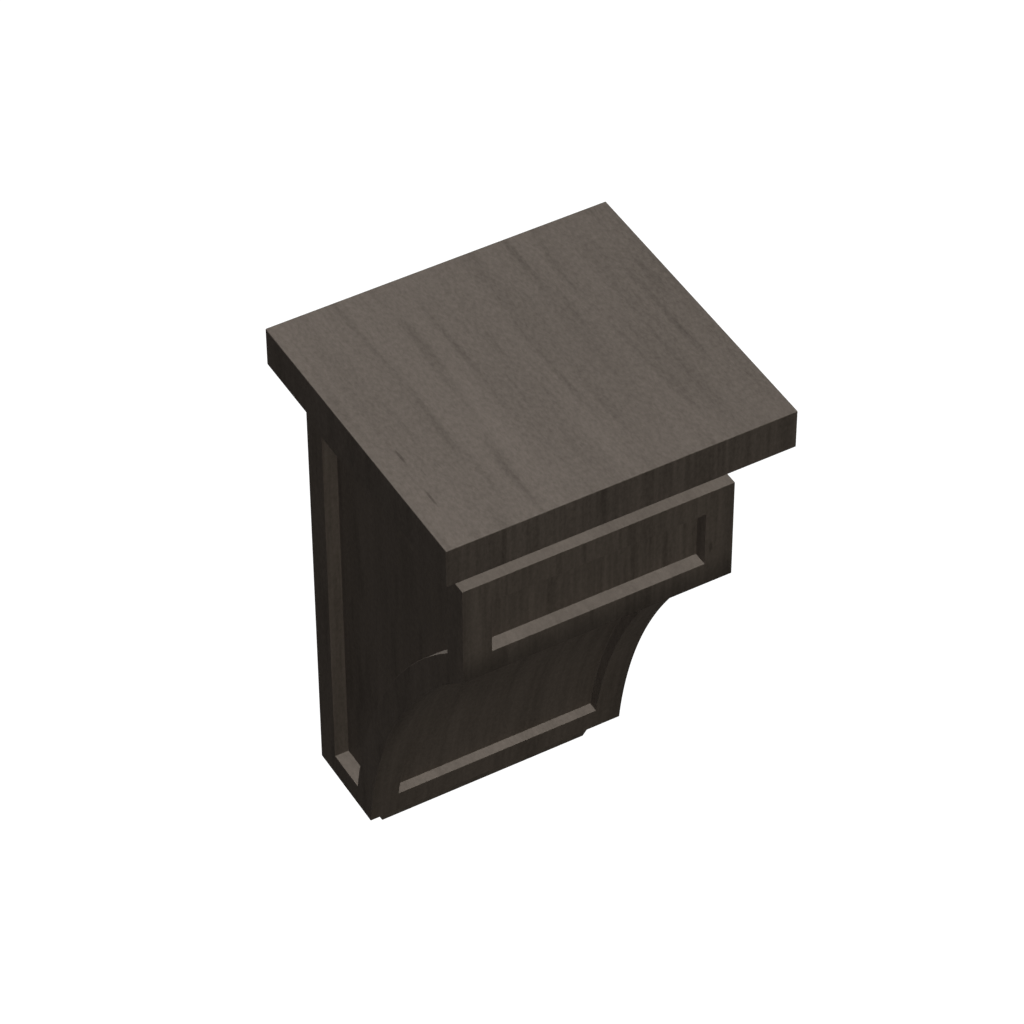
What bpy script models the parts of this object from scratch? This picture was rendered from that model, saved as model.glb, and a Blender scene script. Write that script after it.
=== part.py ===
"""Recessed corbel: a cap board over a carved body with recessed panels and a cove, on a tapered foot.

Metres, +Z up. The back lies on the plane y = 0 and the front faces -Y. The origin is the middle of the
body's back face, where the corbel is fixed to its wall.
"""

import math

import bmesh
import bpy

# Cap board
CAP_WIDTH = 0.1524
CAP_DEPTH = 0.1425
CAP_THICKNESS = 0.0184

# Body: the neck, the front block and the base share one width, the neck being set in
BODY_WIDTH = 0.1206
BLOCK_DEPTH = 0.1255
BLOCK_HEIGHT = 0.0488
BODY_HEIGHT = 0.2043
BASE_DEPTH = 0.0433
NECK_HEIGHT = 0.0247
NECK_INSET = 0.0064
COVE_RADIUS = 0.2520
COVE_STEPS = 40

# Frame left standing around the recessed panels
STILE = 0.0127
SIDE_STILE_COVE = 0.0124
RAIL = 0.0111
COVE_RAIL_LOW = 0.0117
RECESS_DEPTH = NECK_INSET
COVE_RECESS_DEPTH = 0.0048

# Foot, which tapers from the panels' depth inwards
FOOT_HEIGHT = 0.0164
FOOT_INSET_TOP = RECESS_DEPTH
FOOT_INSET_BOTTOM = 0.0112

# Joints between the pieces, and the easing of their edges
GLUE_LINE = 0.0003
EASED_EDGE = 0.0005
EASED_EDGE_STEPS = 2
SHARP_ANGLE = math.radians(25)

# How far a cutter reaches out of the body, and the neck's block into it
CUTTER_MARGIN = 0.010
NECK_EMBED = 0.004

# Dark grey-brown stain under a satin lacquer, in linear colour
CAP_STAIN = (0.068, 0.059, 0.052)
BODY_STAIN = (0.064, 0.055, 0.048)
FOOT_STAIN = (0.060, 0.052, 0.045)
SATIN = 0.55

# Levels, from the body's back face outwards
BACK_HEIGHT = BODY_HEIGHT + NECK_HEIGHT
NECK_TOP = BACK_HEIGHT / 2
BODY_BOTTOM = -BACK_HEIGHT / 2
BLOCK_TOP = BODY_BOTTOM + BODY_HEIGHT
BLOCK_BOTTOM = BLOCK_TOP - BLOCK_HEIGHT
HALF_BODY = BODY_WIDTH / 2


def clear_scene():
    """Removes every object that the file starts with."""
    for thing in list(bpy.data.objects):
        bpy.data.objects.remove(thing, do_unlink=True)


def stained_wood(name, colour):
    """Returns a satin stained-wood material."""
    material = bpy.data.materials.new(name)
    material.use_nodes = True
    shader = material.node_tree.nodes["Principled BSDF"]
    shader.inputs["Base Color"].default_value = (*colour, 1.0)
    shader.inputs["Roughness"].default_value = SATIN
    shader.inputs["Metallic"].default_value = 0.0
    material.diffuse_color = (*colour, 1.0)
    return material


def add_object(name, mesh):
    """Links a mesh to the scene as a named object."""
    thing = bpy.data.objects.new(name, mesh)
    bpy.context.scene.collection.objects.link(thing)
    return thing


def solid_between(name, first, second):
    """Joins two matching rings of points into one closed solid."""
    shape = bmesh.new()
    ring_a = [shape.verts.new(point) for point in first]
    ring_b = [shape.verts.new(point) for point in second]
    shape.faces.new(ring_a)
    shape.faces.new(ring_b)
    for index in range(len(ring_a)):
        after = (index + 1) % len(ring_a)
        shape.faces.new((ring_a[index], ring_a[after], ring_b[after], ring_b[index]))
    bmesh.ops.recalc_face_normals(shape, faces=shape.faces)
    mesh = bpy.data.meshes.new(name)
    shape.to_mesh(mesh)
    shape.free()
    return add_object(name, mesh)


def prism(name, outline, left, right):
    """Extrudes an outline of (y, z) points sideways, from x = left to x = right."""
    return solid_between(name, [(left, y, z) for y, z in outline], [(right, y, z) for y, z in outline])


def box(name, low, high):
    """Makes a box between two corners."""
    outline = [(low[1], low[2]), (high[1], low[2]), (high[1], high[2]), (low[1], high[2])]
    return prism(name, outline, low[0], high[0])


def cove_centre():
    """Returns the (y, z) centre of the cove, which lies in front of it and below its middle."""
    start = (-BASE_DEPTH, BODY_BOTTOM)
    end = (-BLOCK_DEPTH, BLOCK_BOTTOM)
    chord = (end[0] - start[0], end[1] - start[1])
    length = math.hypot(*chord)
    reach = math.sqrt(COVE_RADIUS ** 2 - (length / 2) ** 2)
    middle = ((start[0] + end[0]) / 2, (start[1] + end[1]) / 2)
    outward = (-chord[1] / length, chord[0] / length)
    return (middle[0] + outward[0] * reach, middle[1] + outward[1] * reach)


def cove_angle(level, radius):
    """Returns the angle above the horizontal at which an arc about the cove's centre is at a level."""
    return math.asin((level - cove_centre()[1]) / radius)


def cove_point(angle, radius):
    """Returns the (y, z) point of an arc about the cove's centre."""
    centre = cove_centre()
    return (centre[0] + radius * math.cos(angle), centre[1] + radius * math.sin(angle))


def cove_arc(first_angle, last_angle, radius):
    """Returns points around the cove, at one distance from its centre."""
    points = []
    for step in range(COVE_STEPS + 1):
        angle = first_angle + (last_angle - first_angle) * step / COVE_STEPS
        points.append(cove_point(angle, radius))
    return points


def body_outline():
    """Returns the side view of the block, the cove and the base."""
    low = cove_angle(BODY_BOTTOM, COVE_RADIUS)
    high = cove_angle(BLOCK_BOTTOM, COVE_RADIUS)
    arc = cove_arc(low, high, COVE_RADIUS)
    return [(0.0, BLOCK_TOP), (0.0, BODY_BOTTOM), *arc, (-BLOCK_DEPTH, BLOCK_TOP)]


def side_panel_outline():
    """Returns the side panel's outline, which keeps its distance from the body's own outline."""
    radius = COVE_RADIUS + SIDE_STILE_COVE
    front = -BLOCK_DEPTH + STILE
    bottom = BODY_BOTTOM + RAIL
    top = BLOCK_TOP - RAIL
    low = cove_angle(bottom, radius)
    high = math.acos((front - cove_centre()[0]) / radius)
    arc = cove_arc(low, high, radius)
    return [(-STILE, top), (-STILE, bottom), *arc, (front, top)]


def cove_panel_outline():
    """Returns the side view of what is hollowed out of the cove, from a level ledge upwards."""
    ledge = BODY_BOTTOM + COVE_RAIL_LOW
    inside = COVE_RADIUS + COVE_RECESS_DEPTH
    outside = COVE_RADIUS - CUTTER_MARGIN
    top_angle = cove_angle(BLOCK_BOTTOM, COVE_RADIUS) - RAIL / COVE_RADIUS
    floor = cove_arc(cove_angle(ledge, inside), top_angle, inside)
    front = cove_arc(top_angle, cove_angle(ledge, outside), outside)
    return floor + front


def panel_cutters():
    """Makes the four shapes that hollow out the recessed panels."""
    floor = HALF_BODY - RECESS_DEPTH
    outside = HALF_BODY + CUTTER_MARGIN
    half_front = HALF_BODY - STILE
    block_low = (-half_front, -BLOCK_DEPTH - CUTTER_MARGIN, BLOCK_BOTTOM + RAIL)
    block_high = (half_front, -BLOCK_DEPTH + RECESS_DEPTH, BLOCK_TOP - RAIL)
    return [
        prism("left_panel_cutter", side_panel_outline(), -outside, -floor),
        prism("right_panel_cutter", side_panel_outline(), floor, outside),
        box("block_panel_cutter", block_low, block_high),
        prism("cove_panel_cutter", cove_panel_outline(), -half_front, half_front),
    ]


def hide_tool(thing):
    """Keeps a shape that only cuts or joins out of sight."""
    thing.hide_render = True
    thing.display_type = "WIRE"


def combine(thing, tool, operation):
    """Cuts or joins one solid with another."""
    hide_tool(tool)
    step = thing.modifiers.new(tool.name, "BOOLEAN")
    step.operation = operation
    step.solver = "EXACT"
    step.object = tool


def ease_edges(thing):
    """Takes the sharpness off every real edge, as sanding does."""
    easing = thing.modifiers.new("eased_edges", "BEVEL")
    easing.width = EASED_EDGE
    easing.segments = EASED_EDGE_STEPS
    easing.limit_method = "ANGLE"
    easing.angle_limit = SHARP_ANGLE
    easing.harden_normals = True


def finish(thing, material):
    """Eases a piece's edges, and gives it its material and its smooth shading."""
    ease_edges(thing)
    thing.data.materials.append(material)
    thing.data.shade_smooth()


def make_cap(material):
    """Makes the cap board, which rests on the neck and is flush with it at the back."""
    low = (-CAP_WIDTH / 2, -CAP_DEPTH, NECK_TOP + GLUE_LINE)
    high = (CAP_WIDTH / 2, 0.0, low[2] + CAP_THICKNESS)
    cap = box("cap", low, high)
    finish(cap, material)
    return cap


def make_body(material):
    """Makes the body: the extruded outline with its neck joined on and its panels hollowed out."""
    body = prism("body", body_outline(), -HALF_BODY, HALF_BODY)
    half_neck = HALF_BODY - NECK_INSET
    neck_low = (-half_neck, -BLOCK_DEPTH + NECK_INSET, BLOCK_TOP - NECK_EMBED)
    neck = box("neck_joiner", neck_low, (half_neck, 0.0, NECK_TOP))
    combine(body, neck, "UNION")
    for cutter in panel_cutters():
        combine(body, cutter, "DIFFERENCE")
    finish(body, material)
    return body


def foot_ring(inset, level):
    """Returns the foot's four corners at a level, set in from the body's base."""
    half = HALF_BODY - inset
    front = -BASE_DEPTH + inset
    return [(-half, 0.0, level), (-half, front, level), (half, front, level), (half, 0.0, level)]


def make_foot(material):
    """Makes the foot, which tapers downwards at the front and at both sides."""
    top = foot_ring(FOOT_INSET_TOP, BODY_BOTTOM - GLUE_LINE)
    bottom = foot_ring(FOOT_INSET_BOTTOM, BODY_BOTTOM - FOOT_HEIGHT)
    foot = solid_between("foot", top, bottom)
    finish(foot, material)
    return foot


def main():
    """Builds the corbel."""
    clear_scene()
    make_cap(stained_wood("cap_wood", CAP_STAIN))
    make_body(stained_wood("body_wood", BODY_STAIN))
    make_foot(stained_wood("foot_wood", FOOT_STAIN))


main()
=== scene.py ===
"""Dressed recessed corbel: a cap board over a panelled body with a cove, on a tapered foot.

Metres, +Z up. The back lies on the plane y = 0, the front faces -Y, and the origin is the middle of the
body's back face, where the corbel is fixed to its wall. All of it is close-grained maple under a dark
grey-brown stain and a satin lacquer.
"""

import logging
import math
from dataclasses import dataclass, field, replace
from enum import Enum

import bmesh
import bpy
import numpy as np
from mathutils import Matrix, Vector


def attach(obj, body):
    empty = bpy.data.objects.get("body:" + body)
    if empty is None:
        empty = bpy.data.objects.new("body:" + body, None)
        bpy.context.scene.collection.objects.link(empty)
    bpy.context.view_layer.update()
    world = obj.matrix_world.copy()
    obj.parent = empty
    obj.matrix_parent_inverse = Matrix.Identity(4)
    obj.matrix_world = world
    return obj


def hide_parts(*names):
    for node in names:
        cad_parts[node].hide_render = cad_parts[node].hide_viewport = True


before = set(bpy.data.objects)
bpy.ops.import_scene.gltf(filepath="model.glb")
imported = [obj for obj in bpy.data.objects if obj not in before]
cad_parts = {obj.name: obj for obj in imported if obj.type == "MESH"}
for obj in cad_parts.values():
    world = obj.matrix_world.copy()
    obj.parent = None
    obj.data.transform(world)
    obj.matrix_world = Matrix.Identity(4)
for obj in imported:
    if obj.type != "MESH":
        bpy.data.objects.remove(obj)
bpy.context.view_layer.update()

LOG = logging.getLogger("corbel")

# The simulated body that every piece rides on
BODY = "root"

Colour = tuple[float, float, float]
Point2 = tuple[float, float]
Point3 = tuple[float, float, float]
Socket = bpy.types.NodeSocket

# Sizes that the pieces share with each other or with their finishes, in metres. The origin is halfway
# between the neck's top and the base's bottom, so both lie NECK_TOP away from it.
BODY_WIDTH = 0.1206
BLOCK_DEPTH = 0.1255
BLOCK_BOTTOM = 0.0410
BASE_DEPTH = 0.0433
NECK_TOP = 0.1145
CAP_TOP = 0.1332
GLUE_LINE = 0.0003

# The layers stored on each mesh: the grain's coordinates, and the marks for the finish, which carry worn
# edges, painted light and painted shade
GRAIN_LAYER = "grain"
MARK_LAYER = "marks"

# Which way a face looks, as the third mark says it
LOOKS_UP = -1.0
LOOKS_ASIDE = 0.0
LOOKS_FRONT = 1.0
ON_COVE = 2.0

# Where in the tree the kinds of faces lie, in metres, so that no two share their figure
SIDE_ACROSS = 0.5
SIDE_DEPTH = 1.0
LEVEL_DEPTH = 2.0
COVE_DEPTH = 3.0

# The mean of a noise and of the wood's tone, and how far apart noise is spread to fill its range
MEAN = 0.5
NOISE_GAIN = 4.0

# The numbers of the mix node's sockets for colours, whose names aren't their own
MIX_SHARE, MIX_FIRST, MIX_SECOND, MIX_RESULT = 0, 6, 7, 2


class GrainRun(Enum):
    """Which way the fibres run over a face."""

    TO_FRONT = "from the wall to the front"
    UPRIGHT = "up and down"
    ROUND_COVE = "up the curve of the cove"


class Joining(Enum):
    """What a tool does to the blank that it is used on."""

    GLUED_ON = "UNION"
    CUT_AWAY = "DIFFERENCE"


class Axis(Enum):
    """A direction of the corbel's own frame."""

    WIDTH = 0
    DEPTH = 1


# Shader node helpers


class Bench:
    """A node tree, with short ways to add nodes to it and to join them."""

    def __init__(self, owner: bpy.types.Material | bpy.types.World) -> None:
        """Takes over the tree of a new material or world."""
        owner.use_nodes = True
        self.tree = owner.node_tree

    def put(self, kind: str, inputs: dict | None = None, **settings: object) -> bpy.types.Node:
        """Adds a node.

        Args:
            kind: The node's type.
            inputs: Values or sockets for its inputs, by name or number.
            settings: Values for its own properties.

        Returns:
            The new node.
        """
        node = self.tree.nodes.new(kind)
        for name, value in settings.items():
            setattr(node, name, value)
        for key, value in (inputs or {}).items():
            self.feed(node.inputs[key], value)
        return node

    def feed(self, socket: Socket, value: object) -> None:
        """Joins an output to an input, or sets the input's value.

        Args:
            socket: The input.
            value: An output socket, or a plain value.
        """
        if isinstance(value, bpy.types.NodeSocket):
            self.tree.links.new(value, socket)
        else:
            socket.default_value = value

    def layer(self, name: str) -> Socket:
        """Reads a layer of vectors stored on the mesh."""
        return self.put("ShaderNodeAttribute", attribute_name=name).outputs["Vector"]

    def maths(self, operation: str, first: object, second: object = 0.0) -> Socket:
        """Works out one step on numbers, named as the node names it."""
        return self.put("ShaderNodeMath", {0: first, 1: second}, operation=operation).outputs[0]

    def add(self, first: object, second: object) -> Socket:
        """Adds two numbers."""
        return self.maths("ADD", first, second)

    def less(self, first: object, second: object) -> Socket:
        """Takes the second number from the first."""
        return self.maths("SUBTRACT", first, second)

    def times(self, first: object, second: object) -> Socket:
        """Multiplies two numbers."""
        return self.maths("MULTIPLY", first, second)

    def vectors(self, operation: str, first: object, second: object = (0.0, 0.0, 0.0),
                output: str = "Vector") -> Socket:
        """Works out one step on vectors, named as the node names it."""
        return self.put("ShaderNodeVectorMath", {0: first, 1: second}, operation=operation).outputs[output]

    def parts(self, vector: Socket) -> bpy.types.NodeOutputs:
        """Takes a vector apart into its X, Y and Z."""
        return self.put("ShaderNodeSeparateXYZ", {0: vector}).outputs

    def place(self) -> Socket:
        """Reads where on the corbel a point lies."""
        return self.put("ShaderNodeTexCoord").outputs["Object"]

    def stretched(self, place: Socket, cell: Point3) -> Socket:
        """Scales grain coordinates so that one unit covers a cell of the wood."""
        return self.vectors("MULTIPLY", place, tuple(1.0 / size for size in cell))

    def between(self, value: object, span: Point2, results: Point2 = (0.0, 1.0)) -> Socket:
        """Maps a span smoothly onto its results, which hold beyond its ends."""
        inputs = {"Value": value, "From Min": span[0], "From Max": span[1],
                  "To Min": results[0], "To Max": results[1]}
        return self.put("ShaderNodeMapRange", inputs, interpolation_type="SMOOTHSTEP").outputs["Result"]

    def blend(self, share: object, colours: tuple[Colour, Colour]) -> Socket:
        """Mixes a share of the second colour into the first."""
        inputs = {MIX_SHARE: share, MIX_FIRST: (*colours[0], 1.0), MIX_SECOND: (*colours[1], 1.0)}
        return self.put("ShaderNodeMix", inputs, data_type="RGBA").outputs[MIX_RESULT]


# The wood's figure


@dataclass(frozen=True)
class Figure:
    """One layer of the wood's figure: noise that is drawn out along the grain.

    Attributes:
        cell: Size of one cell of the noise: across the grain, along it and into the wood, in metres.
        depth: How strongly it colours the wood.
        detail: How many finer layers the noise holds.
        roughness: How strong the finer layers are.
    """

    cell: Point3
    depth: float = 1.0
    detail: float = 1.0
    roughness: float = 0.5

    def noise(self, bench: Bench, place: Socket) -> Socket:
        """Returns the noise at a point of the wood."""
        inputs = {"Vector": bench.stretched(place, self.cell), "Scale": 1.0,
                  "Detail": self.detail, "Roughness": self.roughness}
        return bench.put("ShaderNodeTexNoise", inputs).outputs["Fac"]

    def shift(self, bench: Bench, noise: Socket) -> Socket:
        """Returns how far the noise moves a value, to both sides of nothing."""
        return bench.times(bench.less(noise, MEAN), self.depth * NOISE_GAIN)


# The maple's usual figure, from the broadest layer to the finest, and how its grain wanders
SHADE = Figure((0.0350, 0.220, 0.060), 0.06)
BAND = Figure((0.0080, 0.140, 0.020), 0.09, 1.5)
STRAND = Figure((0.0036, 0.044, 0.010), 0.13, 1.4)
PORE = Figure((0.0018, 0.050, 0.010), 0.18, 1.5)
MOTTLE = Figure((0.0013, 0.0026, 0.004), 0.10, 2.0, 0.75)
WANDER = Figure((0.030, 0.090, 0.050), 0.0010)


@dataclass(frozen=True)
class StrayFlecks:
    """Short dark dashes that lie about in loose groups.

    Attributes:
        dash: The dashes' noise, and how much of a distinct fleck's darkness they have.
        dash_span: Between which of its values a dash comes in.
        group: The noise that gathers them in groups.
        group_span: Between which of its values a group comes in.
    """

    dash: Figure = Figure((0.0008, 0.0065, 0.004), 0.40)
    dash_span: Point2 = (0.66, 0.76)
    group: Figure = Figure((0.016, 0.040, 0.020))
    group_span: Point2 = (0.54, 0.68)

    def darkness(self, bench: Bench, place: Socket) -> Socket:
        """Returns how much of a fleck lies at a point.

        Args:
            bench: The material's tree.
            place: The grain's coordinates.

        Returns:
            The socket with the share, from 0 to 1.
        """
        dash = bench.between(self.dash.noise(bench, place), self.dash_span)
        group = bench.between(self.group.noise(bench, place), self.group_span)
        return bench.times(bench.times(dash, group), self.dash.depth)


@dataclass(frozen=True)
class PlacedFleck:
    """One distinct dark fleck in the wood.

    Attributes:
        place: Its middle: across the grain, along it and into the wood, in metres.
        width: Its width.
        length: Its length along the grain.
        rim: Between which shares of its half-size it fades out.
    """

    place: Point3
    width: float
    length: float
    rim: Point2 = (0.3, 1.0)

    def darkness(self, bench: Bench) -> Socket:
        """Returns 1 in the fleck's middle, falling to 0 at its rim.

        Args:
            bench: The material's tree.

        Returns:
            The socket with the share.
        """
        offset = bench.vectors("SUBTRACT", bench.layer(GRAIN_LAYER), self.place)
        cell = (self.width / 2, self.length / 2, self.length / 2)
        distance = bench.vectors("LENGTH", bench.stretched(offset, cell), output="Value")
        return bench.between(distance, self.rim, (1.0, 0.0))


@dataclass(frozen=True)
class PaintedEdgeShade:
    """Painted shade that darkens the wood along the front's outer arrises and along one edge across it.

    Attributes:
        edge: The (y, z) place of the edge across the front.
        reach: How far from that edge the painted shade fades out, in metres.
        share: How much of the wood's lightness is left at that edge.
        arris: How far the outer arrises lie from the middle.
        arris_reach: How far from them the painted shade fades out.
        arris_share: How much of the wood's lightness is left at them.
    """

    edge: Point2
    reach: float
    share: float
    arris: float = BODY_WIDTH / 2
    arris_reach: float = 0.0090
    arris_share: float = 0.87

    def lightness(self, bench: Bench) -> Socket:
        """Returns how much of the wood's lightness the painted shade leaves at a point.

        Args:
            bench: The material's tree.

        Returns:
            The socket with the share.
        """
        parts = bench.parts(bench.place())
        level = bench.put("ShaderNodeCombineXYZ", {"Y": parts["Y"], "Z": parts["Z"]}).outputs[0]
        distance = bench.vectors("DISTANCE", level, (0.0, *self.edge), "Value")
        across = bench.between(distance, (0.0, self.reach), (self.share, 1.0))
        aside = bench.maths("ABSOLUTE", parts["X"])
        beside = bench.between(aside, (self.arris - self.arris_reach, self.arris), (1.0, self.arris_share))
        return bench.times(across, beside)


@dataclass(frozen=True)
class Facing:
    """Which way the faces look, as shares from 0 to 1.

    Attributes:
        front: How far a face looks to the front.
        level: How far it looks up.
        calm: How much of the front's streaks it shows, which is less on the cove.
    """

    front: Socket
    level: Socket
    calm: Socket


# The finish


@dataclass(frozen=True)
class StainedMaple:
    """Maple under a dark stain and a satin lacquer.

    Attributes:
        name: The finish's name.
        stain: Its mean colour, in linear light.
        seed: Where in the tree this piece was sawn, in metres, so that no two look the same.
        shade: The broad lighter and darker zones.
        band: The soft bands.
        strand: The darker strands.
        pore: The fine pore lines, on faces that look to the front.
        mottle: The fine mottling.
        wander: How the grain wanders from its line; its depth is in metres.
        front_strands: Strength of the strands on faces that look to the front.
        level_strands: Their strength on faces that look up.
        cove_streaks: Strength of the front's strands and pore lines on the cove.
        strand_span: Between which values of its noise a strand comes in.
        strand_lift: How much lighter the wood between strands is, against their depth.
        stray: Its stray flecks.
        flecks: Its distinct flecks.
        fleck_depth: How much darker a distinct fleck is.
        dark: The stain's colour where the wood is darkest, against its mean.
        light: Its colour where the wood is lightest.
        worn_gain: How much lighter a worn edge is.
        worn_span: Between which values of the bands' noise an edge is worn.
        sapwood: How much lighter faces that look up get to the left, near the sapwood.
        sapwood_reach: Over what distance they do, in metres.
        painted_edge_shade: Where shade is painted along the front's edges, if anywhere.
        sheen: Roughness of the lacquer.
        sheen_change: How far the roughness strays to either side.
        sheen_span: Between which values of the noise it does.
        gloss: Strength of the lacquer's reflection.
        relief: Height of the raised grain, in metres.
        relief_strength: How much of it shows.
        relief_mix: How much of it the strands, the mottling and the flecks make.
    """

    name: str
    stain: Colour
    seed: float = 0.0
    shade: Figure = SHADE
    band: Figure = BAND
    strand: Figure = STRAND
    pore: Figure = PORE
    mottle: Figure = MOTTLE
    wander: Figure = WANDER
    front_strands: float = 1.0
    level_strands: float = 1.0
    cove_streaks: float = 1.0
    strand_span: Point2 = (0.50, 0.76)
    strand_lift: float = 0.22
    stray: StrayFlecks = StrayFlecks()
    flecks: tuple[PlacedFleck, ...] = ()
    fleck_depth: float = 0.40
    dark: Colour = (0.50, 0.49, 0.47)
    light: Colour = (1.50, 1.51, 1.53)
    worn_gain: float = 0.14
    worn_span: Point2 = (0.35, 0.65)
    sapwood: float = 0.0
    sapwood_reach: float = 0.1
    painted_edge_shade: PaintedEdgeShade | None = None
    sheen: float = 0.62
    sheen_change: float = 0.07
    sheen_span: Point2 = (0.3, 0.7)
    gloss: float = 0.12
    relief: float = 0.00006
    relief_strength: float = 0.25
    relief_mix: Point3 = (0.7, 0.3, 0.8)

    def material(self) -> bpy.types.Material:
        """Lays out the finish's nodes.

        Returns:
            The finish as a material.
        """
        made = bpy.data.materials.new(self.name)
        bench = Bench(made)
        place = self._place(bench)
        band = self.band.noise(bench, place)
        strand = self.strand.noise(bench, place)
        mottle = self.mottle.noise(bench, place)
        fleck = self._flecks(bench, place)
        marks = bench.parts(bench.layer(MARK_LAYER))
        facing = self._facing(bench, marks["Z"])
        tone = self._figure(bench, place, band, mottle)
        tone = bench.add(tone, self._sapwood(bench, facing))
        tone = bench.add(tone, self._strands(bench, strand, facing))
        tone = bench.add(tone, self._pores(bench, place, facing))
        tone = bench.less(tone, bench.times(fleck, self.fleck_depth))
        gain = self._gain(bench, band, marks, facing)
        shader = bench.tree.nodes["Principled BSDF"]
        bench.feed(shader.inputs["Base Color"], self._colour(bench, tone, gain))
        bench.feed(shader.inputs["Roughness"], self._roughness(bench, strand, mottle))
        bench.feed(shader.inputs["Normal"], self._surface(bench, (strand, mottle, fleck)))
        shader.inputs["Specular IOR Level"].default_value = self.gloss
        shader.inputs["Metallic"].default_value = 0.0
        made.diffuse_color = (*self.stain, 1.0)
        return made

    def _place(self, bench: Bench) -> Socket:
        """Reads the grain's coordinates, and puts this piece's place in the tree and its wandering in.

        Args:
            bench: The material's tree.

        Returns:
            The socket with the coordinates.
        """
        seeded = bench.vectors("ADD", bench.layer(GRAIN_LAYER), (0.0, 0.0, self.seed))
        drift = self.wander.shift(bench, self.wander.noise(bench, seeded))
        sideways = bench.put("ShaderNodeCombineXYZ", {"X": drift}).outputs[0]
        return bench.vectors("ADD", seeded, sideways)

    def _facing(self, bench: Bench, mark: Socket) -> Facing:
        """Reads which way a face looks.

        Args:
            bench: The material's tree.
            mark: The third mark.

        Returns:
            The shares.
        """
        front = bench.between(mark, (LOOKS_ASIDE, LOOKS_FRONT))
        level = bench.between(mark, (LOOKS_UP, LOOKS_ASIDE), (1.0, 0.0))
        calm = bench.between(mark, (LOOKS_FRONT, ON_COVE), (1.0, self.cove_streaks))
        return Facing(front, level, calm)

    def _flecks(self, bench: Bench, place: Socket) -> Socket:
        """Finds the darkest fleck at a point, stray or distinct.

        Args:
            bench: The material's tree.
            place: The grain's coordinates.

        Returns:
            The socket with its share, from 0 to 1.
        """
        total = self.stray.darkness(bench, place)
        for fleck in self.flecks:
            total = bench.maths("MAXIMUM", total, fleck.darkness(bench))
        return total

    def _figure(self, bench: Bench, place: Socket, band: Socket, mottle: Socket) -> Socket:
        """Works out the tone that the zones, the bands and the mottling give the wood.

        Args:
            bench: The material's tree.
            place: The grain's coordinates.
            band: The bands' noise.
            mottle: The mottling's noise.

        Returns:
            The socket with the tone, 0.5 being its mean.
        """
        total = bench.add(MEAN, self.shade.shift(bench, self.shade.noise(bench, place)))
        total = bench.add(total, self.band.shift(bench, band))
        return bench.add(total, self.mottle.shift(bench, mottle))

    def _sapwood(self, bench: Bench, facing: Facing) -> Socket:
        """Returns what the nearness of the sapwood adds to the tone."""
        nearness = bench.times(bench.parts(bench.place())["X"], -self.sapwood / self.sapwood_reach)
        return bench.times(nearness, facing.level)

    def _strands(self, bench: Bench, strand: Socket, facing: Facing) -> Socket:
        """Works out what the strands add to the tone, or take from it.

        Args:
            bench: The material's tree.
            strand: The strands' noise.
            facing: Which way the face looks.

        Returns:
            The socket with the change.
        """
        depth = self.strand.depth
        streak = bench.between(strand, self.strand_span, (depth * self.strand_lift, -depth))
        strength = bench.add(bench.times(facing.front, self.front_strands - 1.0), 1.0)
        strength = bench.add(strength, bench.times(facing.level, self.level_strands - 1.0))
        return bench.times(streak, bench.times(strength, facing.calm))

    def _pores(self, bench: Bench, place: Socket, facing: Facing) -> Socket:
        """Returns what the pore lines add to the tone, on faces that look to the front."""
        shift = self.pore.shift(bench, self.pore.noise(bench, place))
        return bench.times(shift, bench.times(facing.front, facing.calm))

    def _gain(self, bench: Bench, band: Socket, marks: bpy.types.NodeOutputs, facing: Facing) -> Socket:
        """Works out how much lighter or darker a place is, whatever the wood: worn edges, painted light and
        painted shade.

        Args:
            bench: The material's tree.
            band: The bands' noise.
            marks: The marks: a worn edge, and the painted light and painted shade.
            facing: Which way the face looks.

        Returns:
            The socket with the factor.
        """
        worn = bench.times(marks["X"], bench.between(band, self.worn_span))
        gain = bench.add(bench.times(worn, self.worn_gain), 1.0)
        gain = bench.add(gain, marks["Y"])
        # Painted shade along the front's edges, on faces that look to the front
        if self.painted_edge_shade is not None:
            lost = bench.times(bench.less(1.0, self.painted_edge_shade.lightness(bench)), facing.front)
            gain = bench.times(gain, bench.less(1.0, lost))
        return gain

    def _colour(self, bench: Bench, tone: Socket, gain: Socket) -> Socket:
        """Works out the stain's colour, which is browner where the wood is darker.

        Args:
            bench: The material's tree.
            tone: The wood's tone.
            gain: The stain's factor.

        Returns:
            The socket with the colour.
        """
        ends = tuple(tuple(mean * share for mean, share in zip(self.stain, end))
                     for end in (self.dark, self.light))
        stained = bench.blend(tone, ends)
        return bench.put("ShaderNodeVectorMath", {0: stained, "Scale": gain}, operation="SCALE").outputs[0]

    def _roughness(self, bench: Bench, strand: Socket, mottle: Socket) -> Socket:
        """Returns the lacquer's roughness, which follows the strands and the mottling a little."""
        results = (self.sheen + self.sheen_change, self.sheen - self.sheen_change)
        return bench.between(bench.times(bench.add(strand, mottle), 0.5), self.sheen_span, results)

    def _surface(self, bench: Bench, parts: tuple[Socket, Socket, Socket]) -> Socket:
        """Makes the fine relief: raised grain, with the flecks sunk in.

        Args:
            bench: The material's tree.
            parts: The strands' noise, the mottling's noise and the flecks.

        Returns:
            The socket with the normal.
        """
        strand, mottle, fleck = (bench.times(part, share) for part, share in zip(parts, self.relief_mix))
        height = bench.less(bench.add(strand, mottle), fleck)
        inputs = {"Strength": self.relief_strength, "Distance": self.relief, "Height": height}
        return bench.put("ShaderNodeBump", inputs).outputs[0]


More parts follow.
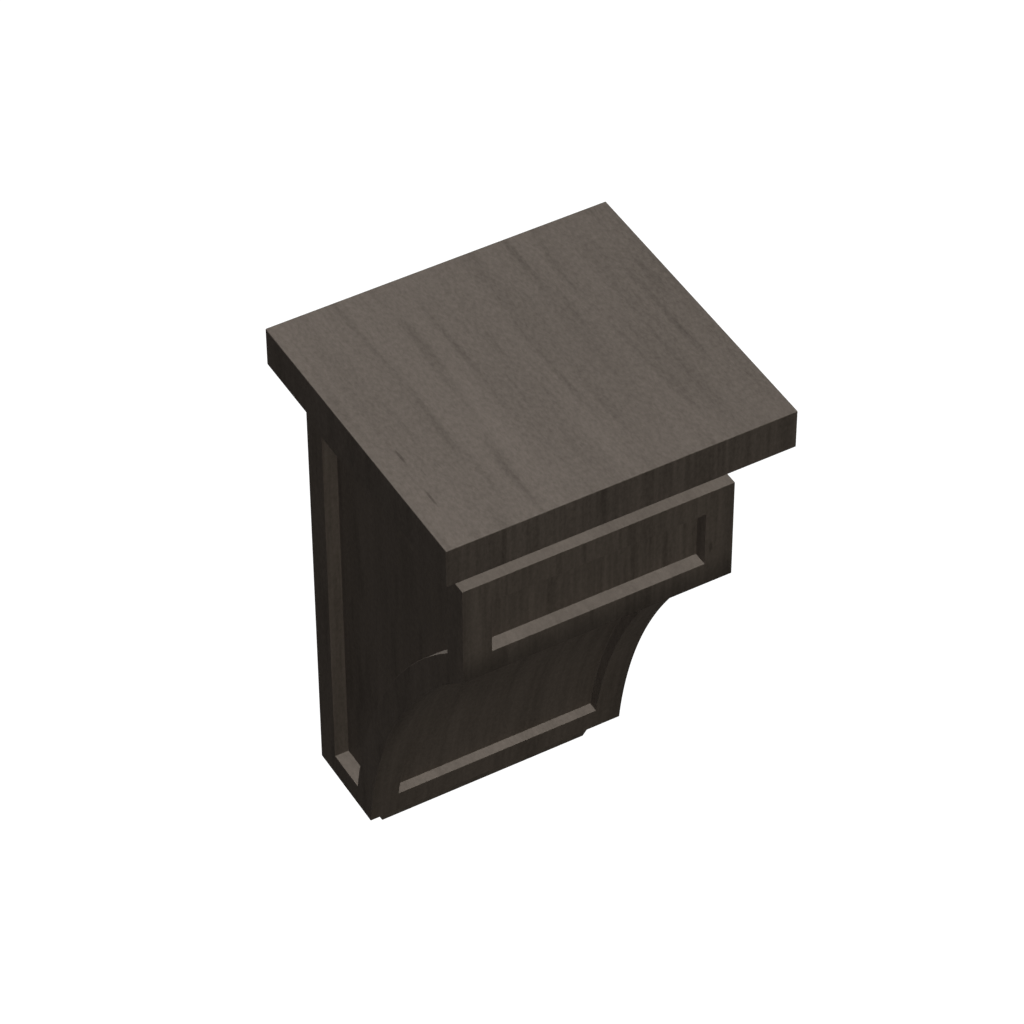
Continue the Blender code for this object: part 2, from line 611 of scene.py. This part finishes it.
CAP_FINISH = StainedMaple(
    "cap_maple", (0.0678, 0.0572, 0.0486), seed=0.11, sapwood=0.10,
    band=replace(BAND, depth=0.080),
    strand=replace(STRAND, cell=(0.0054, 0.066, 0.012), depth=0.16),
    mottle=replace(MOTTLE, depth=0.17),
    flecks=(PlacedFleck((-0.0661, -0.0895, LEVEL_DEPTH + CAP_TOP), 0.0016, 0.0120),
            PlacedFleck((-0.0670, -0.1150, LEVEL_DEPTH + CAP_TOP), 0.0014, 0.0140)),
)
BODY_FINISH = StainedMaple(
    "body_maple", (0.0700, 0.0589, 0.0494), seed=0.47, sapwood=0.02,
    band=replace(BAND, depth=0.13),
    strand=replace(STRAND, depth=0.20),
    mottle=replace(MOTTLE, depth=0.14),
    front_strands=0.6, level_strands=0.3, cove_streaks=0.55,
    # Painted shade along the block's lower edge and the front's outer arrises
    painted_edge_shade=PaintedEdgeShade((-BLOCK_DEPTH, BLOCK_BOTTOM), 0.016, 0.60),
    flecks=(PlacedFleck((0.0501, 0.0600, -BLOCK_DEPTH), 0.0022, 0.0072),),
)
FOOT_FINISH = StainedMaple("foot_maple", (0.0680, 0.0573, 0.0480), seed=0.83)


# Mesh helpers


@dataclass(frozen=True)
class EasedEdge:
    """How an edge has its sharpness sanded off.

    Attributes:
        width: How far the easing reaches from the edge, in metres.
        steps: How many facets round it.
        sharp: The least angle between two faces that counts as an edge, in radians.
    """

    width: float = 0.00035
    steps: int = 3
    sharp: float = math.radians(25)

    def apply_to(self, blank: bpy.types.Object) -> None:
        """Adds the easing to a blank, its facets marked by the second material number.

        Args:
            blank: The object to ease.
        """
        easing = blank.modifiers.new("eased_edges", "BEVEL")
        easing.width = self.width
        easing.segments = self.steps
        easing.limit_method = "ANGLE"
        easing.angle_limit = self.sharp
        easing.harden_normals = True
        easing.material = 1


def solid_between(name: str, first: list[Point3], second: list[Point3]) -> bpy.types.Object:
    """Joins two matching rings of points into one closed solid.

    Args:
        name: The new object's name.
        first: One end's ring of points.
        second: The other end's, in the same order.

    Returns:
        The new object.
    """
    shape = bmesh.new()
    ring_a = [shape.verts.new(point) for point in first]
    ring_b = [shape.verts.new(point) for point in second]
    shape.faces.new(ring_a)
    shape.faces.new(ring_b)
    for index in range(len(ring_a)):
        after = (index + 1) % len(ring_a)
        shape.faces.new((ring_a[index], ring_a[after], ring_b[after], ring_b[index]))
    bmesh.ops.recalc_face_normals(shape, faces=shape.faces)
    mesh = bpy.data.meshes.new(name)
    shape.to_mesh(mesh)
    shape.free()
    thing = bpy.data.objects.new(name, mesh)
    bpy.context.scene.collection.objects.link(thing)
    return thing


def prism(name: str, outline: list[Point2], left: float, right: float) -> bpy.types.Object:
    """Extrudes a side view's outline of (y, z) points sideways."""
    return solid_between(name, [(left, y, z) for y, z in outline], [(right, y, z) for y, z in outline])


def block(name: str, low: Point3, high: Point3) -> bpy.types.Object:
    """Makes a squared block between its lowest corner and its highest."""
    outline = [(low[1], low[2]), (high[1], low[2]), (high[1], high[2]), (low[1], high[2])]
    return prism(name, outline, low[0], high[0])


def use_tool(blank: bpy.types.Object, tool: bpy.types.Object, joining: Joining) -> None:
    """Glues a tool's shape onto a blank, or cuts it away.

    Args:
        blank: The object that is worked on.
        tool: The shape that is glued on or cut away.
        joining: Which of the two it is.
    """
    step = blank.modifiers.new(tool.name, "BOOLEAN")
    step.operation = joining.value
    step.solver = "EXACT"
    step.object = tool


def worked_mesh(blank: bpy.types.Object, tools: tuple[bpy.types.Object, ...], name: str) -> bpy.types.Mesh:
    """Takes the finished mesh off a blank, and clears the blank and its tools away.

    Args:
        blank: The object with all its steps on it.
        tools: The shapes used on it.
        name: The finished mesh's name.

    Returns:
        The finished mesh.
    """
    bpy.context.view_layer.update()
    graph = bpy.context.evaluated_depsgraph_get()
    mesh = bpy.data.meshes.new_from_object(blank.evaluated_get(graph), depsgraph=graph)
    mesh.name = name
    for thing in [blank, *tools]:
        bpy.data.objects.remove(thing, do_unlink=True)
    return mesh


@dataclass(frozen=True)
class PaintedLightWalls:
    """Narrow upright walls of the recesses, on which light is painted: their colour is made lighter.

    Attributes:
        axis: The direction that they face.
        distance: How far they lie from the frame's middle that way, on either side.
        lighter: How much lighter the painted light makes them.
        tolerance: How far a face's middle may lie off, in metres.
        squareness: The least share of its normal that is along the axis.
    """

    axis: Axis
    distance: float
    lighter: float = 0.20
    tolerance: float = 0.0003
    squareness: float = 0.9

    def holds(self, centre: np.ndarray, normal: np.ndarray) -> np.ndarray:
        """Says which faces belong to these walls.

        Args:
            centre: The faces' middles.
            normal: Their normals.

        Returns:
            True or False for each face.
        """
        facing = np.abs(normal[:, self.axis.value]) > self.squareness
        off = np.abs(np.abs(centre[:, self.axis.value]) - self.distance)
        return facing & (off < self.tolerance)


@dataclass(frozen=True)
class Cove:
    """The hollow sweep from the base out to the block, an arc about a centre in front of it.

    Attributes:
        foot: The (y, z) point where it starts, at the base.
        head: The (y, z) point where it ends, at the block.
        radius: Its radius, in metres.
        steps: How many facets make it round.
        painted_shade_levels: Between which levels it passes into the hollow under the block, where shade is
            painted.
        painted_shade_depth: How much darker the painted shade makes it there.
        slack: How far a face's middle may lie off its arc or past its ends.
        behind: How far behind the arc the floor of its panel may lie.
        squareness: The least share of a face's normal that points to the centre.
    """

    foot: Point2
    head: Point2
    radius: float
    steps: int = 96
    painted_shade_levels: Point2 = (-0.072, -0.036)
    painted_shade_depth: float = 0.10
    slack: float = 0.001
    behind: float = 0.010
    squareness: float = 0.9

    @property
    def centre(self) -> Point2:
        """Works out the arc's centre from its ends and its radius.

        Returns:
            Its (y, z) point.
        """
        chord = (self.head[0] - self.foot[0], self.head[1] - self.foot[1])
        length = math.hypot(*chord)
        reach = math.sqrt(self.radius ** 2 - (length / 2) ** 2)
        middle = ((self.foot[0] + self.head[0]) / 2, (self.foot[1] + self.head[1]) / 2)
        return (middle[0] - chord[1] / length * reach, middle[1] + chord[0] / length * reach)

    def angle_at(self, level: float, radius: float) -> float:
        """Returns the angle above the horizontal at which an arc about the centre reaches a level."""
        return math.asin((level - self.centre[1]) / radius)

    def point(self, angle: float, radius: float) -> Point2:
        """Returns the (y, z) point of an arc about the centre, at an angle above the horizontal."""
        return (self.centre[0] + radius * math.cos(angle), self.centre[1] + radius * math.sin(angle))

    def arc(self, angles: Point2, radius: float) -> list[Point2]:
        """Returns points along an arc about the centre, from the first angle to the last."""
        turn = (angles[1] - angles[0]) / self.steps
        return [self.point(angles[0] + turn * step, radius) for step in range(self.steps + 1)]

    def holds(self, centre: np.ndarray, normal: np.ndarray) -> bool:
        """Says whether a face belongs to the cove's curve or to the panel's floor behind it.

        Args:
            centre: The face's middle.
            normal: Its normal.

        Returns:
            True if it does.
        """
        away = (centre[1] - self.centre[0], centre[2] - self.centre[1])
        distance = math.hypot(*away)
        facing = -(normal[1] * away[0] + normal[2] * away[1]) / distance
        near = -self.slack < distance - self.radius < self.behind
        along = self.foot[1] - self.slack < centre[2] < self.head[1] + self.slack
        return bool(near and along and facing > self.squareness)

    def hollow(self, z: np.ndarray) -> np.ndarray:
        """Says how deep in the hollow under the block levels lie, which sets the painted shade there.

        Args:
            z: The levels.

        Returns:
            The depth at each, smoothly from 0 to 1.
        """
        low, high = self.painted_shade_levels
        share = np.clip((z - low) / (high - low), 0.0, 1.0)
        return share * share * (3.0 - 2.0 * share)

    def coordinates(self, y: np.ndarray, z: np.ndarray) -> tuple[np.ndarray, np.ndarray]:
        """Unrolls points of the cove.

        Args:
            y: Their y.
            z: Their z.

        Returns:
            How far up the curve they lie, and how far into the wood.
        """
        angle = np.arctan2(z - self.centre[1], y - self.centre[0])
        inwards = np.hypot(y - self.centre[0], z - self.centre[1]) - self.radius
        return angle * self.radius, inwards


class GrainLayer:
    """Lays the grain's own coordinates, and marks for the finish, onto a finished mesh."""

    # How upright a level face's normal is at least, and how far a front face's points forwards
    LEVEL_NORMAL = 0.7
    FRONT_NORMAL = 0.3

    def __init__(self, mesh: bpy.types.Mesh, cove: Cove | None = None) -> None:
        """Reads the mesh's corners and faces.

        Args:
            mesh: The mesh that gets the layers.
            cove: The piece's cove, if it has one.
        """
        self.mesh = mesh
        self.cove = cove
        points = self._read(mesh.vertices, "co", np.float32, 3)
        corner_point = self._read(mesh.loops, "vertex_index", np.int32).ravel()
        sizes = self._read(mesh.polygons, "loop_total", np.int32).ravel()
        self.face = np.repeat(np.arange(len(sizes)), sizes)
        self.corner = points[corner_point].astype(float)
        self.normal = self._read(mesh.polygons, "normal", np.float32, 3).astype(float)
        self.centre = self._read(mesh.polygons, "center", np.float32, 3).astype(float)
        self.run = self._runs()

    @staticmethod
    def _read(things: object, name: str, kind: type, width: int = 1) -> np.ndarray:
        """Reads one property of all of a mesh's vertices, corners or faces.

        Args:
            things: The mesh's vertices, corners or faces.
            name: The property's name.
            kind: What numbers it holds.
            width: How many of them each has.

        Returns:
            One row for each.
        """
        values = np.zeros(len(things) * width, kind)
        things.foreach_get(name, values)
        return values.reshape(-1, width)

    def _runs(self) -> np.ndarray:
        """Finds which way the grain runs over each face.

        Returns:
            One run for each face.
        """
        found = []
        for centre, normal in zip(self.centre, self.normal):
            if self.cove is not None and self.cove.holds(centre, normal):
                found.append(GrainRun.ROUND_COVE)
            elif abs(normal[2]) > self.LEVEL_NORMAL:
                found.append(GrainRun.TO_FRONT)
            else:
                found.append(GrainRun.UPRIGHT)
        return np.array(found, dtype=object)

    def _store(self, name: str, values: np.ndarray) -> None:
        """Stores a vector for every corner."""
        layer = self.mesh.attributes.new(name, "FLOAT_VECTOR", "CORNER")
        layer.data.foreach_set("vector", values.astype(np.float32).ravel())

    def lay(self) -> None:
        """Stores how far across the grain, along it and into the wood every corner lies."""
        run = self.run[self.face]
        normal = self.normal[self.face]
        x, y, z = self.corner.T
        sideways = np.abs(normal[:, 0]) > np.abs(normal[:, 1])
        across = np.where(sideways, y + SIDE_ACROSS, x)
        depth = np.where(sideways, x + SIDE_DEPTH, y)
        grain = np.stack([across, z, depth], axis=1)
        flat = run == GrainRun.TO_FRONT
        grain[flat] = np.stack([x, y, z + LEVEL_DEPTH], axis=1)[flat]
        if self.cove is not None:
            curved = run == GrainRun.ROUND_COVE
            along, inwards = self.cove.coordinates(y, z)
            grain[curved] = np.stack([x, along, inwards + COVE_DEPTH], axis=1)[curved]
        self._store(GRAIN_LAYER, grain)

    def mark(self, walls: tuple[PaintedLightWalls, ...] = ()) -> None:
        """Stores worn edges, painted light and painted shade, and which way each face looks.

        Args:
            walls: The narrow walls of its recesses, on which light is painted.
        """
        eased = self._read(self.mesh.polygons, "material_index", np.int32).ravel()
        upwards = np.where(self.normal[:, 2] > self.LEVEL_NORMAL, LOOKS_UP, LOOKS_ASIDE)
        facing = np.where(self.normal[:, 1] < -self.FRONT_NORMAL, LOOKS_FRONT, upwards)
        curved = self.run == GrainRun.ROUND_COVE
        facing[curved] = ON_COVE
        marks = np.stack([eased > 0, np.zeros(len(eased)), facing], axis=1)[self.face]
        # Painted shade on the cove, darker towards the hollow under the block
        if self.cove is not None:
            hollow = self.cove.hollow(self.corner[:, 2])
            marks[:, 1] -= self.cove.painted_shade_depth * curved[self.face] * hollow
        # Painted light on the recesses' narrow walls
        for wall in walls:
            marks[:, 1] += wall.lighter * wall.holds(self.centre, self.normal)[self.face]
        self._store(MARK_LAYER, marks)
        self.mesh.polygons.foreach_set("material_index", np.zeros(len(eased), np.int32))


# The corbel's pieces


@dataclass
class Piece:
    """A piece of the corbel.

    Attributes:
        finish: Its finish.
        easing: How its edges are eased.
    """

    finish: StainedMaple
    easing: EasedEdge = EasedEdge()

    def _dressed(self, name: str, node: str, slot: str, blank: bpy.types.Object,
                 tools: tuple[bpy.types.Object, ...] = (), cove: Cove | None = None,
                 walls: tuple[PaintedLightWalls, ...] = ()) -> bpy.types.Object:
        """Eases a blank's edges, lays its grain and gives it its finish.

        Args:
            name: The piece's name.
            node: The CAD node that it stands for.
            slot: The record's material slot; not used.
            blank: The object with the steps of its shape on it.
            tools: The shapes used on it.
            cove: Its cove, if it has one.
            walls: Its recesses' narrow walls, on which light is painted.

        Returns:
            The finished piece.
        """
        blank.data.shade_smooth()
        self.easing.apply_to(blank)
        mesh = worked_mesh(blank, tools, name)
        layers = GrainLayer(mesh, cove)
        layers.lay()
        layers.mark(walls)
        mesh.materials.clear()
        mesh.materials.append(self.finish.material())
        piece = bpy.data.objects.new(name, mesh)
        bpy.context.scene.collection.objects.link(piece)
        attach(piece, BODY)
        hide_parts(node)
        return piece


@dataclass
class CapBoard(Piece):
    """The overhanging cap board.

    Attributes:
        width: Its width, in metres.
        depth: From the wall to its front edge.
        underside: Its underside's level.
        top: Its top's level.
    """

    width: float = 0.1524
    depth: float = 0.1425
    underside: float = NECK_TOP + GLUE_LINE
    top: float = CAP_TOP

    def build(self) -> bpy.types.Object:
        """Makes the board.

        Returns:
            The finished piece.
        """
        low = (-self.width / 2, -self.depth, self.underside)
        blank = block("cap_blank", low, (self.width / 2, 0.0, self.top))
        return self._dressed("cap_board", "cap", "cap_wood", blank)


@dataclass
class PanelledBody(Piece):
    """The block, the cove and the base in one, with their recessed panels, under a set-in neck.

    Attributes:
        width: Its width, in metres.
        neck_top: The neck's top's level.
        block_top: The block's top's level.
        block_bottom: The block's lower edge's level.
        bottom: The base's level.
        block_depth: From the wall to the block's front.
        base_depth: From the wall to the base's front.
        neck_inset: How far the neck is set in.
        cove_radius: The cove's radius.
        stile: Width of the upright frame parts.
        cove_stile: Width of the side frame along the cove.
        rail: Width of the level frame parts.
        low_rail: Width of the cove's bottom rail.
        recess: Depth of the block's panel and the sides'.
        cove_recess: Depth of the cove's panel.
        clear: How far a cutter reaches out of the wood.
        embed: How far the neck's block reaches into the body.
    """

    width: float = BODY_WIDTH
    neck_top: float = NECK_TOP
    block_top: float = 0.0898
    block_bottom: float = BLOCK_BOTTOM
    bottom: float = -NECK_TOP
    block_depth: float = BLOCK_DEPTH
    base_depth: float = BASE_DEPTH
    neck_inset: float = 0.0064
    cove_radius: float = 0.2520
    stile: float = 0.0127
    cove_stile: float = 0.0124
    rail: float = 0.0111
    low_rail: float = 0.0117
    recess: float = 0.0064
    cove_recess: float = 0.0048
    clear: float = 0.010
    embed: float = 0.004
    cove: Cove = field(init=False)

    def __post_init__(self) -> None:
        """Sets out the cove between the base and the block."""
        foot = (-self.base_depth, self.bottom)
        self.cove = Cove(foot, (-self.block_depth, self.block_bottom), self.cove_radius)

    def _outline(self) -> list[Point2]:
        """Draws the side view of the block, the cove and the base.

        Returns:
            Its (y, z) points.
        """
        low = self.cove.angle_at(self.bottom, self.cove_radius)
        high = self.cove.angle_at(self.block_bottom, self.cove_radius)
        arc = self.cove.arc((low, high), self.cove_radius)
        return [(0.0, self.block_top), (0.0, self.bottom), *arc, (-self.block_depth, self.block_top)]

    def _side_panel(self) -> list[Point2]:
        """Draws the side panel's outline, which keeps its distance from the body's own.

        Returns:
            Its (y, z) points.
        """
        radius = self.cove_radius + self.cove_stile
        front = -self.block_depth + self.stile
        bottom = self.bottom + self.rail
        top = self.block_top - self.rail
        low = self.cove.angle_at(bottom, radius)
        high = math.acos((front - self.cove.centre[0]) / radius)
        arc = self.cove.arc((low, high), radius)
        return [(-self.stile, top), (-self.stile, bottom), *arc, (front, top)]

    def _cove_panel(self) -> list[Point2]:
        """Draws the side view of what is hollowed out of the cove, from a level ledge upwards.

        Returns:
            Its (y, z) points.
        """
        ledge = self.bottom + self.low_rail
        inside = self.cove_radius + self.cove_recess
        outside = self.cove_radius - self.clear
        top = self.cove.angle_at(self.block_bottom, self.cove_radius) - self.rail / self.cove_radius
        floor = self.cove.arc((self.cove.angle_at(ledge, inside), top), inside)
        front = self.cove.arc((top, self.cove.angle_at(ledge, outside)), outside)
        return floor + front

    def _panel_cutters(self) -> list[bpy.types.Object]:
        """Makes the four shapes that hollow out the recessed panels.

        Returns:
            The shapes.
        """
        floor = self.width / 2 - self.recess
        outside = self.width / 2 + self.clear
        half = self.width / 2 - self.stile
        low = (-half, -self.block_depth - self.clear, self.block_bottom + self.rail)
        high = (half, -self.block_depth + self.recess, self.block_top - self.rail)
        return [
            prism("left_panel_cutter", self._side_panel(), -outside, -floor),
            prism("right_panel_cutter", self._side_panel(), floor, outside),
            block("block_panel_cutter", low, high),
            prism("cove_panel_cutter", self._cove_panel(), -half, half),
        ]

    def _neck(self) -> bpy.types.Object:
        """Makes the set-in neck, which reaches a little into the block.

        Returns:
            Its blank.
        """
        half = self.width / 2 - self.neck_inset
        low = (-half, -self.block_depth + self.neck_inset, self.block_top - self.embed)
        return block("neck_blank", low, (half, 0.0, self.neck_top))

    def build(self) -> bpy.types.Object:
        """Makes the body, with its neck glued on and its panels hollowed out.

        Returns:
            The finished piece.
        """
        blank = prism("body_blank", self._outline(), -self.width / 2, self.width / 2)
        neck = self._neck()
        cutters = self._panel_cutters()
        use_tool(blank, neck, Joining.GLUED_ON)
        for cutter in cutters:
            use_tool(blank, cutter, Joining.CUT_AWAY)
        # The recesses' narrow walls get painted light
        walls = (PaintedLightWalls(Axis.WIDTH, self.width / 2 - self.stile), PaintedLightWalls(Axis.DEPTH, self.stile))
        return self._dressed("panelled_body", "body", "body_wood", blank, (neck, *cutters), self.cove, walls)


@dataclass
class TaperedFoot(Piece):
    """The foot under the base, which tapers downwards at the front and at both sides.

    Attributes:
        base_width: The width of the base above it, in metres.
        base_depth: The depth of the base above it.
        top: Its top's level.
        bottom: Its bottom's level.
        inset_top: How far it is set in from the base at its top.
        inset_bottom: How far it is set in at its bottom.
    """

    base_width: float = BODY_WIDTH
    base_depth: float = BASE_DEPTH
    top: float = -NECK_TOP - GLUE_LINE
    bottom: float = -0.1309
    inset_top: float = 0.0064
    inset_bottom: float = 0.0112

    def _ring(self, inset: float, level: float) -> list[Point3]:
        """Finds the foot's four corners at a level.

        Args:
            inset: How far it is set in from the base there.
            level: The level.

        Returns:
            The corners, from the back round the front.
        """
        half = self.base_width / 2 - inset
        front = -self.base_depth + inset
        return [(-half, 0.0, level), (-half, front, level), (half, front, level), (half, 0.0, level)]

    def build(self) -> bpy.types.Object:
        """Makes the foot.

        Returns:
            The finished piece.
        """
        top = self._ring(self.inset_top, self.top)
        blank = solid_between("foot_blank", top, self._ring(self.inset_bottom, self.bottom))
        return self._dressed("tapered_foot", "foot", "foot_wood", blank)


# Studio and camera


@dataclass(frozen=True)
class Lamp:
    """A distant soft lamp that casts no shadow.

    Attributes:
        name: Its name.
        towards: The azimuth that it shines from, in degrees from the front, and its height above the horizon.
        strength: Its strength.
        tint: Its colour.
        spread: How wide it looks from the corbel, in degrees.
        distance: How far off it is drawn, in metres, which its light doesn't depend on.
    """

    name: str
    towards: Point2
    strength: float
    tint: Colour = (1.0, 1.0, 1.0)
    spread: float = 20.0
    distance: float = 3.0

    def hang(self) -> None:
        """Adds the lamp to the scene."""
        lamp = bpy.data.lights.new(self.name, "SUN")
        lamp.energy = self.strength
        lamp.color = self.tint
        lamp.angle = math.radians(self.spread)
        lamp.use_shadow = False
        thing = bpy.data.objects.new(self.name, lamp)
        azimuth, height = (math.radians(value) for value in self.towards)
        flat = math.cos(height)
        back = Vector((math.sin(azimuth) * flat, -math.cos(azimuth) * flat, math.sin(height)))
        thing.rotation_mode = "QUATERNION"
        thing.rotation_quaternion = (-back).to_track_quat("-Z", "Y")
        thing.location = back * self.distance
        bpy.context.scene.collection.objects.link(thing)


@dataclass
class Studio:
    """A plain white room with soft light: the corbel hangs in it at shelf height.

    Attributes:
        floor_level: The floor's level.
        floor_radius: How far the flat floor reaches.
        wall_radius: How far off the room's round wall is.
        ceiling: The ceiling's level.
        hub: Radius of the disc in the middle of the floor.
        corner_points: How many points round the corner between floor and wall.
        dome_points: How many points make the ceiling's dome.
        dome_angles: The angles above the horizon at which the dome starts and ends.
        turns: How many facets the room has all round.
        glow: How bright its white is.
        ambient: The strength of the even light from below and from above.
        air_tint: That light's colour.
        lamps: The lamps.
    """

    floor_level: float = -1.8
    floor_radius: float = 6.0
    wall_radius: float = 8.0
    ceiling: float = 8.0
    hub: float = 0.4
    corner_points: int = 13
    dome_points: int = 12
    dome_angles: Point2 = (0.1, math.pi / 2 - 0.02)
    turns: int = 64
    glow: float = 1.1
    ambient: Point2 = (0.04, 0.11)
    air_tint: Colour = (1.05, 1.0, 0.95)
    lamps: tuple[Lamp, ...] = (
        Lamp("overhead", (0.0, 90.0), 4.90),
        Lamp("front_fill", (0.0, 15.0), 0.89, (1.05, 1.0, 0.92)),
        Lamp("left_fill", (-90.0, 5.0), 0.16, (1.10, 1.0, 0.95)),
        Lamp("back_fill", (150.0, 0.0), 0.80),
        Lamp("low_fill", (-60.0, -60.0), 0.28),
    )

    def build(self) -> None:
        """Makes the room and hangs its lamps."""
        self._room()
        self._air()
        for lamp in self.lamps:
            lamp.hang()

    def _profile(self) -> list[Point2]:
        """Draws half the room's section: floor, round corner, wall and domed ceiling.

        Returns:
            Its (radius, level) points.
        """
        bend = self.wall_radius - self.floor_radius
        floor_edge, middle = self.floor_radius, self.floor_level + bend
        corner = [(floor_edge + bend * math.sin(turn), middle - bend * math.cos(turn))
                  for turn in np.linspace(0.0, math.pi / 2, self.corner_points)]
        dome = [(self.wall_radius * math.cos(turn), self.ceiling * math.sin(turn))
                for turn in np.linspace(*self.dome_angles, self.dome_points)]
        return [(self.hub, self.floor_level), *corner, *dome]

    def _room(self) -> None:
        """Makes the floor with its backdrop, plain white and kept out of the corbel's own light."""
        shape = bmesh.new()
        line = [shape.verts.new((radius, 0.0, level)) for radius, level in self._profile()]
        edges = [shape.edges.new(pair) for pair in zip(line, line[1:])]
        bmesh.ops.spin(shape, geom=[*line, *edges], cent=(0.0, 0.0, 0.0), axis=(0.0, 0.0, 1.0),
                       angle=2 * math.pi, steps=self.turns, use_merge=True, use_duplicate=False)
        rims = [edge for edge in shape.edges if edge.is_boundary]
        bmesh.ops.holes_fill(shape, edges=rims, sides=0)
        bmesh.ops.recalc_face_normals(shape, faces=shape.faces)
        mesh = bpy.data.meshes.new("studio_floor")
        shape.to_mesh(mesh)
        shape.free()
        mesh.shade_smooth()
        mesh.materials.append(self._white())
        room = bpy.data.objects.new("studio_floor", mesh)
        bpy.context.scene.collection.objects.link(room)
        for kind in ("diffuse", "glossy", "transmission", "shadow"):
            setattr(room, f"visible_{kind}", False)

    def _white(self) -> bpy.types.Material:
        """Makes the room's white.

        Returns:
            The material.
        """
        white = bpy.data.materials.new("studio_white")
        bench = Bench(white)
        glow = bench.put("ShaderNodeEmission", {"Color": (1.0, 1.0, 1.0, 1.0), "Strength": self.glow})
        bench.feed(bench.tree.nodes["Material Output"].inputs["Surface"], glow.outputs[0])
        bench.tree.nodes.remove(bench.tree.nodes["Principled BSDF"])
        return white

    def _air(self) -> None:
        """Sets the even light from all round, which is weaker from below than from above."""
        world = bpy.data.worlds.new("studio_air")
        bench = Bench(world)
        below, above = self.ambient
        direction = bench.put("ShaderNodeTexCoord").outputs["Generated"]
        inputs = {"Value": bench.parts(direction)["Z"],
                  "From Min": -1.0, "From Max": 1.0, "To Min": below, "To Max": above}
        background = bench.tree.nodes["Background"]
        bench.feed(background.inputs["Strength"], bench.put("ShaderNodeMapRange", inputs).outputs["Result"])
        background.inputs["Color"].default_value = (*self.air_tint, 1.0)
        bpy.context.scene.world = world
        bpy.context.scene.view_settings.view_transform = "Standard"


@dataclass(frozen=True)
class PictureCamera:
    """The camera at the picture's viewing angle.

    Attributes:
        position: Where it stands.
        right: The direction that is right in the picture.
        down: The direction that is down in it.
        lens: Its focal length, in millimetres, for the sensor's width.
        sensor: The sensor's width, in millimetres.
        clip: How near and how far it sees, in metres.
    """

    position: Point3 = (-0.66647, -1.22877, 1.33542)
    right: Point3 = (0.867527, -0.497379, -0.003350)
    down: Point3 = (-0.345884, -0.598423, -0.722672)
    lens: float = 165.549
    sensor: float = 36.0
    clip: Point2 = (0.05, 40.0)

    def place(self) -> None:
        """Adds the camera and makes it the scene's own."""
        data = bpy.data.cameras.new("picture_camera")
        data.lens = self.lens
        data.sensor_width = self.sensor
        data.clip_start, data.clip_end = self.clip
        camera = bpy.data.objects.new("picture_camera", data)
        right = Vector(self.right).normalized()
        back = right.cross(-Vector(self.down)).normalized()
        up = back.cross(right)
        turned = Matrix((right, up, back)).transposed().to_4x4()
        camera.matrix_world = Matrix.Translation(self.position) @ turned
        bpy.context.scene.collection.objects.link(camera)
        bpy.context.scene.camera = camera


def main() -> None:
    """Builds the camera, the studio and the corbel's pieces."""
    logging.basicConfig(level=logging.INFO, format="%(name)s: %(message)s")
    PictureCamera().place()
    Studio().build()
    for assembly in (CapBoard(CAP_FINISH), PanelledBody(BODY_FINISH), TaperedFoot(FOOT_FINISH)):
        piece = assembly.build()
        LOG.info("%s: %d faces", piece.name, len(piece.data.polygons))


if __name__ == "__main__":
    main()
